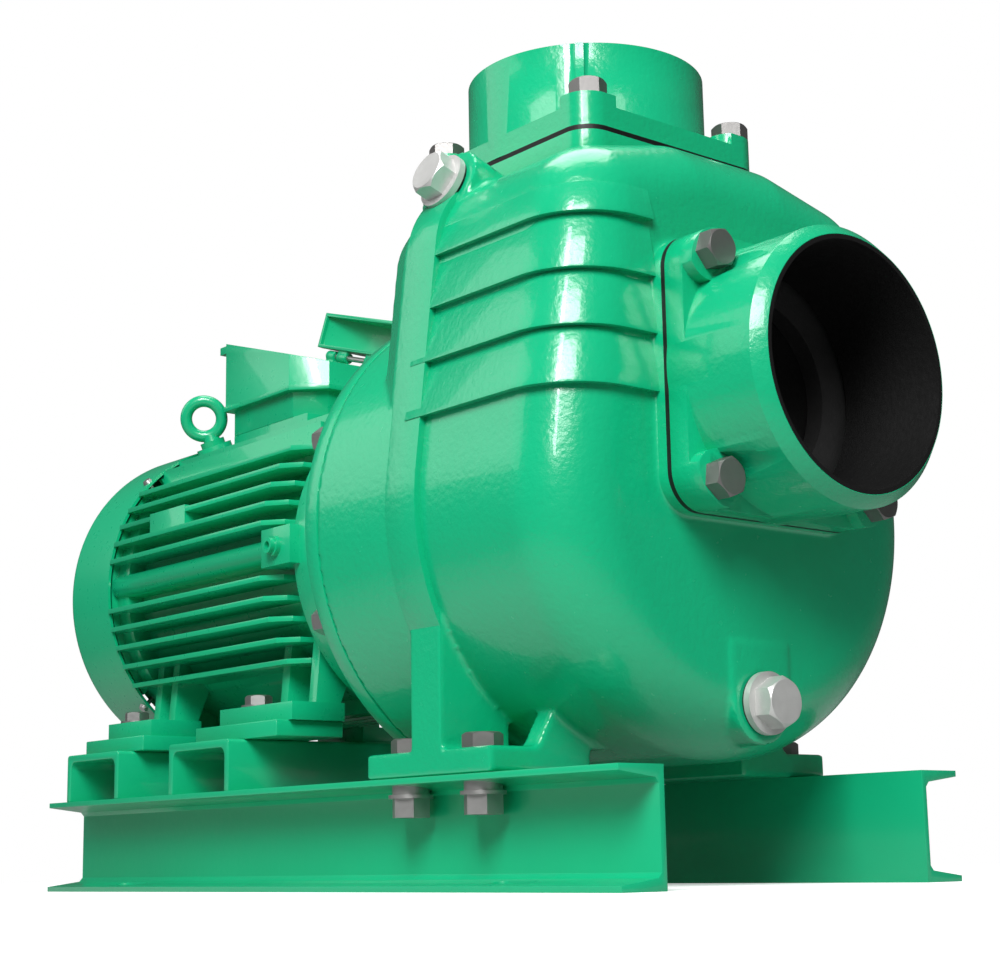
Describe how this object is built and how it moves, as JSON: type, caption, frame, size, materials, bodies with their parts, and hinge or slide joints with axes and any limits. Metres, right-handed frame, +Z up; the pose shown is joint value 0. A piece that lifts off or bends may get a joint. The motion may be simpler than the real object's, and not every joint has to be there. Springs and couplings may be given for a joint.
{
  "type": "self-priming centrifugal pump with electric motor",
  "caption": "Green self-priming pump, close coupled to a finned electric motor and bolted to a base of channel rails",
  "frame": {"origin": "middle of the footprint on the floor, between the rails", "axes": "+Y along the shaft from the suction port to the fan, +Z up, +X to the right when looking along +Y"},
  "size_m": [0.3712, 0.8074, 0.604],
  "materials": {
    "green_casting": "glossy enamel over a rough casting",
    "green_motor": "glossy enamel",
    "green_base": "glossy enamel on rolled steel",
    "black_rubber": "moulded black rubber",
    "dark_bolt_steel": "dark oiled steel",
    "zinc_steel": "zinc plated steel",
    "silver_plug": "matte zinc plated steel",
    "bare_cast_iron": "machined cast iron",
    "ground_steel": "ground steel",
    "seal_ceramic": "pale ceramic, lapped",
    "core_steel": "laminated sheet",
    "cast_aluminium": "die cast",
    "winding_lacquer": "lacquered winding",
    "black_plastic": "moulded plastic",
    "brass_stud": "turned brass"
  },
  "bodies": {
    "frame": {"rail_left": "green_base", "rail_right": "green_base", "motor_crossmember_front": "green_base", "motor_crossmember_rear": "green_base", "motor_pads": "green_base", "pump_casing": "green_casting", "suction_flange_gasket": "black_rubber", "suction_hub": "green_casting", "suction_liner": "black_rubber", "suction_bolts": "dark_bolt_steel", "discharge_gasket": "black_rubber", "discharge_hub": "green_casting", "discharge_bolts": "dark_bolt_steel", "flap_seat": "bare_cast_iron", "flap_pin": "zinc_steel", "priming_plug_washer": "black_rubber", "drain_plug_washer": "black_rubber", "volute": "green_casting", "wear_plate": "bare_cast_iron", "motor_adapter": "green_casting", "adapter_bolts": "zinc_steel", "seal_seat": "seal_ceramic", "bearing_outer_rings": "ground_steel", "motor_frame": "green_motor", "stator_core": "core_steel", "stator_windings": "winding_lacquer", "rear_endshield": "green_motor", "fan_cover": "green_motor", "fan_cover_screws": "zinc_steel", "lifting_eye": "green_motor", "terminal_box": "green_motor", "lid_hinge_pin": "zinc_steel", "terminal_block": "black_plastic", "terminal_studs": "brass_stud", "grease_nipples": "green_motor", "casing_foot_bolts": "dark_bolt_steel", "casing_foot_washers": "zinc_steel", "casing_foot_nuts": "zinc_steel", "motor_foot_bolts": "zinc_steel", "motor_foot_washers": "zinc_steel", "motor_foot_nuts": "zinc_steel"},
    "rotor": {"motor_shaft": "ground_steel", "shaft_key": "zinc_steel", "impeller": "bare_cast_iron", "impeller_nut": "zinc_steel", "seal_head": "ground_steel", "rotor_core": "core_steel", "rotor_end_rings": "cast_aluminium", "bearing_inner_rings": "ground_steel", "bearing_balls": "ground_steel", "cooling_fan": "black_plastic"},
    "flap": {"check_flap": "black_rubber", "flap_weight": "bare_cast_iron"},
    "lid": {"terminal_box_lid": "green_motor"},
    "priming_plug_body": {"priming_plug": "silver_plug"},
    "drain_plug_body": {"drain_plug": "silver_plug"}
  },
  "joints": [
    {"name": "rotor_spin", "type": "hinge", "parent": "frame", "child": "rotor", "pos_m": [0, 0.1, 0.2606], "axis": [0, 1, 0], "continuous": true},
    {"name": "flap_swing", "type": "hinge", "parent": "frame", "child": "flap", "pos_m": [0, -0.3006, 0.4078], "axis": [1, 0, 0], "range_deg": [0, 42]},
    {"name": "lid_swing", "type": "hinge", "parent": "frame", "child": "lid", "pos_m": [0.039, 0.149, 0.45306], "axis": [0, 0.9563, 0.2924], "range_deg": [-96, 8]},
    {"name": "priming_plug_pull", "type": "slide", "parent": "frame", "child": "priming_plug_body", "axis": [-0.9397, 0, 0.342], "range_m": [0, 0.06]},
    {"name": "drain_plug_pull", "type": "slide", "parent": "frame", "child": "drain_plug_body", "axis": [0, -1, 0], "range_m": [0, 0.06]}
  ]
}
